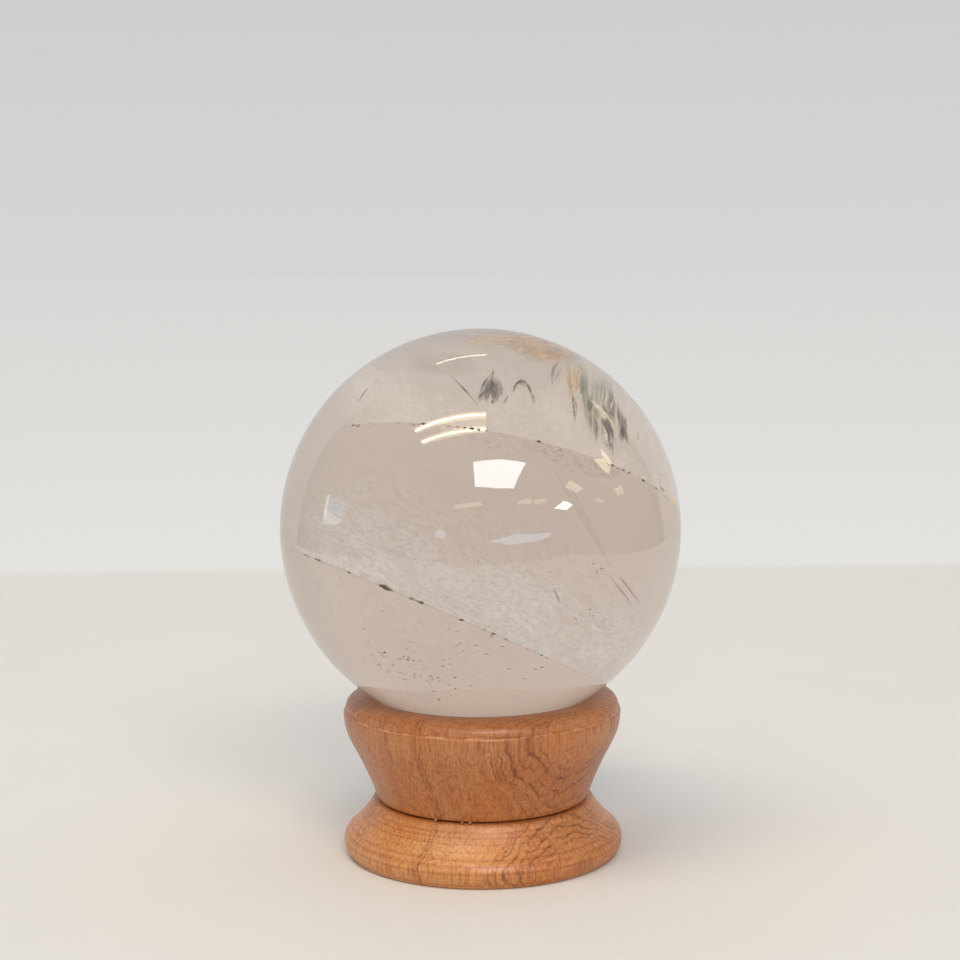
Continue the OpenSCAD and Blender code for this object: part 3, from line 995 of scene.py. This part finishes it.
plumes("brown_feathers", [
    ((11.1, 3.6, 18.2), (11.5, -0.4, 16.3), 0.1, 0.1, 3, 0.08),
    ((11.4, 1.4, 17.0), (12.2, -4.4, 13.9), 0.12, 0.05, 5, 0.09),
    ((16.6, 4.4, 14.4), (16.9, 0.8, 12.4), 0.3, 0.2, 8, 0.1),
    ((17.3, 4.0, 13.6), (17.8, 0.0, 11.4), 0.4, 0.4, 9, 0.1),
    ((17.7, 1.6, 12.0), (18.0, -0.5, 10.9), 0.4, 0.3, 8, 0.12),
    ((23.0, -1.0, 6.8), (23.4, -1.4, 5.6), 0.2, 0.2, 3, 0.1),
], feather("brown_clay", tone(140, 104, 66), tone(176, 140, 94), cover=0.66, glow=0.08), seed=8)


# ---------------------------------------------------------------------------
# Iron stain
# ---------------------------------------------------------------------------
# Near the top a little iron has seeped in and coloured the stone golden, in
# cloudy flakes a millimetre or two under the polish. On the left the stain is
# fainter, and in front it thins out to a pale olive.

def stain_effect():
    """Soft clouds, deepest in the middle of the patch, with fine flakes in them."""
    tree, given, group_out = effect_group("stain_effect", ("Deep", "Middle", "Pale"), {"Cover": 0.5})
    uv = add(tree, "ShaderNodeUVMap", {"uv_map": "patch"}).outputs["UV"]
    clouds = add(tree, "ShaderNodeTexNoise", Vector=uv, Scale=2.6, Detail=5.0, Roughness=0.6).outputs["Fac"]
    long_way = vector_node(tree, "MULTIPLY", uv, (0.5, 1.0, 1.0))
    flakes = add(tree, "ShaderNodeTexNoise", Vector=long_way, Scale=10.0, Detail=4.0,
                 Roughness=0.7).outputs["Fac"]
    away = vector_node(tree, "LENGTH", vector_node(tree, "SUBTRACT", uv, (0.5, 0.5, 0)))
    bays = math_node(tree, "MULTIPLY", math_node(tree, "SUBTRACT", clouds, 0.5), 0.35)
    inside = soft_step(tree, math_node(tree, "ADD", away, bays), 0.22, 0.48, 1.0, 0.0)
    rim = soft_step(tree, away, 0.40, 0.49, 1.0, 0.0)
    cloud = soft_step(tree, clouds, 0.38, 0.60, 0.6, 1.0)
    flake = soft_step(tree, flakes, 0.36, 0.60, 0.75, 1.0)
    cover_here = math_node(tree, "MULTIPLY", math_node(tree, "MULTIPLY", cloud, flake),
                           math_node(tree, "MULTIPLY", inside, given["Cover"]))
    wire(tree, group_out, "Alpha", math_node(tree, "MULTIPLY", cover_here, rim))
    colour = between_tones(tree, flakes, 0.38, 0.50, given["Deep"], given["Middle"])
    wire(tree, group_out, "Color", between_tones(tree, flakes, 0.50, 0.64, colour, given["Pale"]))
    return tree


stain_clouds = stain_effect()


def stain_flakes(name, cover, deep, middle, pale):
    """Iron that has seeped into the stone, with the gloss of the flakes themselves and a little painted glow.
    """
    return thin_film(name, stain_clouds, glow=0.12, roughness=0.5, gloss=0.5, Cover=cover, Deep=deep,
                     Middle=middle, Pale=pale)


def under_polish(name, centre, length, width, turn, material):
    """A patch that follows the surface of the sphere a little below it. The centre is a direction."""
    depth = 0.9
    out = Vector(centre).normalized()
    east = Vector((0, 0, 1)).cross(out).normalized()
    north = out.cross(east)
    a = math.radians(turn)
    first = east * math.cos(a) + north * math.sin(a)
    second = north * math.cos(a) - east * math.sin(a)

    def corner_at(u, v):
        place = out * ball_r + first * (u - 0.5) * length + second * (v - 0.5) * width
        return place.normalized() * (ball_r - depth), (u, v)

    sheet(name, "patch", columns=32, rows=16, corner_at=corner_at, material=material)


under_polish("stain_right", (10.6, -6.8, 32.4), length=21, width=16, turn=6, material=stain_flakes(
    "iron_stain", 1.0, tone(178, 124, 62), tone(212, 162, 96), tone(234, 202, 144)))
under_polish("stain_left", (3.0, -8.4, 33.2), length=17, width=9, turn=4, material=stain_flakes(
    "faint_stain", 0.75, tone(212, 174, 126), tone(228, 198, 154), tone(240, 220, 186)))
under_polish("stain_front", (-6.1, -16.0, 30.5), length=17, width=9, turn=-8, material=stain_flakes(
    "olive_stain", 0.34, tone(156, 146, 118), tone(172, 162, 136), tone(196, 186, 160)))


# ---------------------------------------------------------------------------
# Needles
# ---------------------------------------------------------------------------
# A few hair-thin brown crystals grew straight through the quartz. Two lie close
# behind the polish on the right, as soft pale streaks. All are six-sided rods
# that taper to both ends.

def needle_effect():
    """A clear crystal's two tones. More light comes through it in places."""
    tree, given, group_out = effect_group("needle_effect", ("Dark", "Pale"), {"Cover": 0.5})
    spots = add(tree, "ShaderNodeTexNoise", Vector=surface_mm(tree), Scale=0.9, Detail=2.0).outputs["Fac"]
    wire(tree, group_out, "Color", between_tones(tree, spots, 0.4, 0.6, given["Dark"], given["Pale"]))
    least = math_node(tree, "MULTIPLY", given["Cover"], 0.55)
    wire(tree, group_out, "Alpha", soft_step(tree, spots, 0.35, 0.6, given["Cover"], least))
    return tree


needle_tones = needle_effect()


def needle_crystal(name, dark, pale, cover):
    """Red-brown needle crystal, with no light of its own."""
    return thin_film(name, needle_tones, glow=0, roughness=0.6, Dark=dark, Pale=pale, Cover=cover)


rods, rods_in, rods_out = new_tree("needles", [
    ("Radius", "NodeSocketFloat"),
    ("Material", "NodeSocketMaterial"),
])
paths = add(rods, "GeometryNodeMeshToCurve", Mesh=rods_in.outputs["Geometry"])
fine = add(rods, "GeometryNodeResampleCurve", Curve=paths.outputs[0], Count=7)
share = add(rods, "GeometryNodeSplineParameter").outputs["Factor"]
# The rod is widest in the middle of a half turn of the sine, and a little short of nothing at its ends.
part_of_turn = math_node(rods, "MULTIPLY_ADD", share, 2.9, 0.12)
taper = math_node(rods, "MULTIPLY", math_node(rods, "SINE", part_of_turn), rods_in.outputs["Radius"])
six_sided = add(rods, "GeometryNodeCurvePrimitiveCircle", Resolution=6, Radius=1.0)
rod = add(rods, "GeometryNodeCurveToMesh", Curve=fine.outputs[0], Profile_Curve=six_sided.outputs[0],
          Scale=taper, Fill_Caps=True)
finish_tree(rods, rods_out, rod.outputs[0], rods_in.outputs["Material"])


def lay_needles(name, radius, material, needle_ends):
    """Lays needles between pairs of points, in millimetres from the sphere's centre."""
    mesh = bpy.data.meshes.new(name + "_lines")
    mesh.from_pydata([BALL_CENTRE + Vector(end) * MM for pair in needle_ends for end in pair],
                     [(2 * i, 2 * i + 1) for i in range(len(needle_ends))], [])
    piece = grow(name, mesh, rods, {"Radius": radius * MM, "Material": material})
    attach(piece, "root")


pink = needle_crystal("needle_pink", tone(178, 142, 128), tone(206, 178, 164), cover=0.5)
soft_pale = needle_crystal("needle_pale", tone(202, 184, 172), tone(216, 202, 190), cover=0.08)
brown = needle_crystal("needle_brown", tone(134, 98, 80), tone(170, 138, 120), cover=0.8)
lay_needles("needles", 0.13, pink, [
    ((20.1, -17.7, -4.5), (23.4, -12.8, -9.6)),
    ((18.6, -18.6, -4.4), (22.2, -13.8, -9.6)),
    ((9.5, -12.8, -6.0), (10.4, -12.2, -8.3)),
    ((-4.6, -15.3, 26.5), (-0.2, -20.8, 22.1)),
])
lay_needles("soft_needles", 0.42, soft_pale, [
    ((11.9, -29.2, 13.2), (19.0, -27.9, 0.2)),
    ((13.4, -28.9, 12.4), (20.6, -26.9, -2.6)),
])
lay_needles("dark_needles", 0.15, brown, [
    ((-19.2, -12.9, 22.4), (-17.7, -11.5, 24.5)),
    ((-2.9, -17.6, 24.9), (-1.6, -19.2, 23.6)),
])


# ---------------------------------------------------------------------------
# Table, room and lamps
# ---------------------------------------------------------------------------
# A pale table top runs out to a pale wall. Behind the viewer the room is dim, so
# the sphere mirrors it darker than the table and the wall. Through the stone both
# look a little warmer, and darker at the right, where the room is in shade.

WALL_NEAR = tone(229, 228, 224)
WALL = tone(214, 213, 211)
WALL_HIGH = tone(207, 206, 206)
ROOM = tone(112, 106, 100)
CEILING = tone(184, 178, 168)
THROUGH = tone(224, 217, 208)
THROUGH_RIGHT = tone(186, 178, 170)


def surroundings(tree, direction):
    """What a ray meets far away: the plain wall, and for mirrored rays the dim half of the room too. Also
    whether the ray is seen at all, and whether it comes through the stone."""
    rise = add(tree, "ShaderNodeSeparateXYZ", Vector=direction).outputs["Z"]
    flat = vector_node(tree, "NORMALIZE", vector_node(tree, "MULTIPLY", direction, (1, 1, 0)))
    level_parts = add(tree, "ShaderNodeSeparateXYZ", Vector=flat)
    up = add(tree, "ShaderNodeMapRange", Value=rise, From_Min=0.0, From_Max=0.12)
    wall = blend(tree, "MIX", up.outputs["Result"], WALL, WALL_HIGH)
    dim = blend(tree, "MIX", soft_step(tree, rise, 0.35, 0.95), ROOM, CEILING)
    behind = add(tree, "ShaderNodeMapRange", Value=level_parts.outputs["Y"], From_Min=0.54, From_Max=0.57)
    mirrored = blend(tree, "MIX", behind.outputs["Result"], dim, wall)
    path = tree.nodes.new("ShaderNodeLightPath")
    glossy, through = path.outputs["Is Glossy Ray"], path.outputs["Is Transmission Ray"]
    # A ray that is let through is also called glossy, so a mirrored one is glossy and not let through.
    is_mirrored = math_node(tree, "GREATER_THAN", math_node(tree, "SUBTRACT", glossy, through), 0.5)
    aside = soft_step(tree, level_parts.outputs["X"], 0.55, 0.95, 0.0, 0.45)
    behind_glass = blend(tree, "MIX", aside, THROUGH, THROUGH_RIGHT)
    colour = blend(tree, "MIX", through, wall, behind_glass)
    colour = blend(tree, "MIX", is_mirrored, colour, mirrored)
    seen = math_node(tree, "MAXIMUM", path.outputs["Is Camera Ray"],
                     math_node(tree, "MAXIMUM", glossy, through))
    return colour, seen, through


TABLE_R = 6.0
table_mesh = bpy.data.meshes.new("table")
top = bmesh.new()
bmesh.ops.create_circle(top, cap_ends=True, segments=96, radius=TABLE_R)
top.to_mesh(table_mesh)
top.free()
table = bpy.data.objects.new("table", table_mesh)
bpy.context.scene.collection.objects.link(table)


def table_top():
    """Matt pale paint. The table fades into the wall about a third of a metre away from the object."""
    material, tree, shader = new_material("table_top")
    point = surface_mm(tree)
    away = vector_node(tree, "LENGTH", point)
    grain = add(tree, "ShaderNodeTexNoise", Vector=vector_node(tree, "SCALE", point, scale=0.02),
                Scale=1.0, Detail=5.0)
    paint = blend(tree, "MIX", grain.outputs["Fac"], tone(223, 219, 213), tone(229, 225, 220))
    wire(tree, shader, "Base Color", paint)
    shader.inputs["Roughness"].default_value = 0.8
    shader.inputs["Specular IOR Level"].default_value = 0.2
    # It ends in a rounded rectangle, and sooner for what is seen through the stone.
    parts = add(tree, "ShaderNodeSeparateXYZ", Vector=point)
    sides = []
    for axis, half_mm in (("X", 330.0), ("Y", 300.0)):
        share = math_node(tree, "ABSOLUTE", math_node(tree, "DIVIDE", parts.outputs[axis], half_mm))
        sides.append(math_node(tree, "POWER", share, 8.0))
    colour, seen, through = surroundings(tree, vector_node(tree, "MULTIPLY", point, (1, 1, 0)))
    edge = soft_step(tree, math_node(tree, "ADD", *sides), 0.92, 1.35)
    near = soft_step(tree, away, 60.0, 320.0, 0.35, 1.0)
    edge = math_node(tree, "MAXIMUM", edge, math_node(tree, "MULTIPLY", near, through))
    # The wall is brightest where it meets the table.
    nearness = math_node(tree, "DIVIDE", 620.0, math_node(tree, "ADD", away, 340.0))
    seen_first = tree.nodes.new("ShaderNodeLightPath").outputs["Is Camera Ray"]
    bright = math_node(tree, "MINIMUM", math_node(tree, "MULTIPLY", nearness, seen_first), 1.0)
    far_off = tree.nodes.new("ShaderNodeEmission")
    wire(tree, far_off, "Color", blend(tree, "MIX", bright, colour, WALL_NEAR))
    beyond = tree.nodes.new("ShaderNodeMixShader")
    wire(tree, beyond, "0", math_node(tree, "MULTIPLY", edge, seen))
    tree.links.new(shader.outputs[0], beyond.inputs[1])
    tree.links.new(far_off.outputs[0], beyond.inputs[2])
    tree.links.new(beyond.outputs[0], tree.nodes["Material Output"].inputs["Surface"])
    return material


table_mesh.materials.append(table_top())

# The room lights the object evenly, with a little more from above.
ROOM_LOW, ROOM_HIGH = 0.36, 0.75
ROOM_LIGHT = (0.90, 0.975, 1.10, 1)
world = bpy.data.worlds.new("room")
bpy.context.scene.world = world
world.use_nodes = True
tree = world.node_tree
view = add(tree, "ShaderNodeTexCoord").outputs["Generated"]
colour, seen, through = surroundings(tree, view)
shown = tree.nodes["Background"]
wire(tree, shown, "Color", colour)
lighting = tree.nodes.new("ShaderNodeBackground")
lighting.inputs["Color"].default_value = ROOM_LIGHT
rise = add(tree, "ShaderNodeSeparateXYZ", Vector=view).outputs["Z"]
from_above = add(tree, "ShaderNodeMapRange", Value=rise, From_Min=0.0, From_Max=1.0,
                 To_Min=ROOM_LOW, To_Max=ROOM_HIGH)
wire(tree, lighting, "Strength", from_above.outputs["Result"])
mix = tree.nodes.new("ShaderNodeMixShader")
tree.links.new(seen, mix.inputs[0])
tree.links.new(lighting.outputs[0], mix.inputs[1])
tree.links.new(shown.outputs[0], mix.inputs[2])
tree.links.new(mix.outputs[0], tree.nodes["World Output"].inputs["Surface"])


# ---------------------------------------------------------------------------
# Windows, lamps and bright things in the room
# ---------------------------------------------------------------------------
# Daylight comes from two windows, and warm light from ceiling tubes in their
# fittings. The polish mirrors them all, and the gilt frames and shelf edges on
# the dim side too, which are flat panes that nothing else sees.

LIT_PAPER = 4


def lamp(name, centre, width, height, brightness, colour, turn=0.0, level=False,
         mirrored=True, lights_table=True):
    """A rectangular lamp, turned to face the sphere, or straight down where it is level. A brightness of 1
    is that of lit white paper."""
    data = bpy.data.lights.new(name, "AREA")
    data.shape = "RECTANGLE"
    data.size = width
    data.size_y = height
    data.energy = LIT_PAPER * width * height * brightness
    data.color = colour
    holder = bpy.data.objects.new(name, data)
    bpy.context.scene.collection.objects.link(holder)
    holder.location = BALL_CENTRE + Vector(centre)
    up = Vector((0, 0, 1)) if level else Vector(centre)
    facing = up.to_track_quat("Z", "Y").to_matrix() @ Matrix.Rotation(math.radians(turn), 3, "Z")
    holder.rotation_euler = facing.to_euler()
    holder.visible_transmission = False
    holder.visible_glossy = mirrored
    holder.visible_diffuse = lights_table


def towards(azimuth, elevation, distance=3.0):
    """The point that far from the sphere's centre. Azimuth 0 is behind the viewer, 90 at the right."""
    a, e = math.radians(azimuth), math.radians(elevation)
    out = distance * math.cos(e)
    return out * math.sin(a), -out * math.cos(a), distance * math.sin(e)


def pane(name, corners, brightness, colour):
    """A bright shape that is only seen mirrored in polished surfaces. Its corners are (azimuth, elevation)
    from the sphere."""
    mesh = bpy.data.meshes.new(name)
    places = [BALL_CENTRE + Vector(towards(a, e)) for a, e in corners]
    mesh.from_pydata(places, [], [range(len(corners))])
    material = bpy.data.materials.new(name)
    material.use_nodes = True
    nodes = material.node_tree.nodes
    nodes.clear()
    light = nodes.new("ShaderNodeEmission")
    light.inputs["Color"].default_value = (*colour, 1)
    light.inputs["Strength"].default_value = brightness * LIT_PAPER / math.pi
    surface = nodes.new("ShaderNodeOutputMaterial").inputs["Surface"]
    material.node_tree.links.new(light.outputs[0], surface)
    mesh.materials.append(material)
    shape = bpy.data.objects.new(name, mesh)
    bpy.context.scene.collection.objects.link(shape)
    shape.visible_camera = False
    shape.visible_diffuse = False
    shape.visible_transmission = False
    shape.visible_shadow = False


DAYLIGHT = (1.0, 0.90, 0.74)
WARM = (1.0, 0.93, 0.72)
GOLDEN = (1.0, 0.82, 0.48)
WHITE = (0.96, 0.98, 1.0)
COOL = (0.66, 0.80, 1.0)
PALE_BLUE = (0.52, 0.76, 1.0)
SKY_BLUE = (0.22, 0.56, 1.0)
lamp("window_light", towards(13, 37.5, 5.0), 2.5, 1.2, 7.8, DAYLIGHT, turn=-9, mirrored=False)
lamp("left_window_light", towards(-90, 8), 1.1, 0.55, 2.8, COOL, mirrored=False)
lamp("tube_over_viewer", (-0.845, -0.89, 3.0), 2.03, 0.09, 12, WARM, turn=2, level=True)
lamp("tube_over_table", (-0.83, -1.47, 3.0), 2.03, 0.10, 10, WARM, turn=3, level=True)
lamp("fitting_over_viewer", (-0.845, -0.91, 3.02), 2.03, 0.26, 4, GOLDEN, turn=2, level=True)
lamp("fitting_over_table", (-0.83, -1.49, 3.02), 2.03, 0.28, 4, GOLDEN, turn=3, level=True)
lamp("tube_behind", (-0.34, 1.86, 3.0), 1.0, 0.06, 8, WARM, turn=13, level=True)
lamp("ceiling_panel", (-0.46, -1.2, 3.05), 1.3, 0.44, 1.6, GOLDEN, level=True, lights_table=False)
pane("window", [(-5, 45), (15, 46), (33, 42), (26, 36), (21, 29), (9, 30), (-3, 31)], 9, WHITE)
pane("left_window", [(-98, 11), (-84, 13), (-83, 6), (-97, 6)], 1.2, SKY_BLUE)
pane("left_window_frame", [(-100, 11), (-98, 12), (-97, 5), (-99, 1)], 3.2, COOL)
pane("left_window_sill", [(-97, 6), (-83, 5), (-87, 2), (-98, 1)], 2.0, COOL)
pane("small_window", [(43, 16), (50, 19), (55, 16), (50, 14)], 10, WHITE)
pane("small_window_beside", [(68, 16), (73, 16), (77, 13), (73, 13)], 1.2, WHITE)
pane("picture_high", [(82, 32), (90, 29), (90, 24), (86, 23), (83, 28)], 4.5, GOLDEN)
pane("picture_beside", [(93, 33), (94, 28), (94, 25), (91, 25), (90, 31)], 4.5, GOLDEN)
pane("picture_small", [(53, 25), (58, 28), (65, 22), (60, 21)], 3.2, GOLDEN)
pane("picture_low", [(86, 17), (90, 16), (88, 13), (87, 14)], 3, GOLDEN)
pane("picture_lowest", [(90, 17), (93, 16), (92, 13), (90, 13)], 2.4, GOLDEN)
pane("shelf_far_left", [(-15, 21), (-8, 22), (1, 23), (1, 20.5), (-8, 19.5), (-15, 18.5)], 2.0, GOLDEN)
pane("shelf_left", [(21, 22), (30, 23), (30, 20), (23, 20)], 2.2, GOLDEN)
pane("shelf_right", [(31, 22), (40, 21.5), (38, 19.5), (32, 19)], 2.0, GOLDEN)
pane("low_strip", [(4, 1), (13, 3), (20, 5), (27, 4), (39, 4), (39, 2), (30, 0), (16, -1)],
     2.6, PALE_BLUE)
pane("low_dot", [(-25, 6.5), (-21, 7), (-19, 4.5), (-21, 2.5), (-25, 3)], 2.6, PALE_BLUE)

bpy.context.scene.view_settings.view_transform = "Standard"
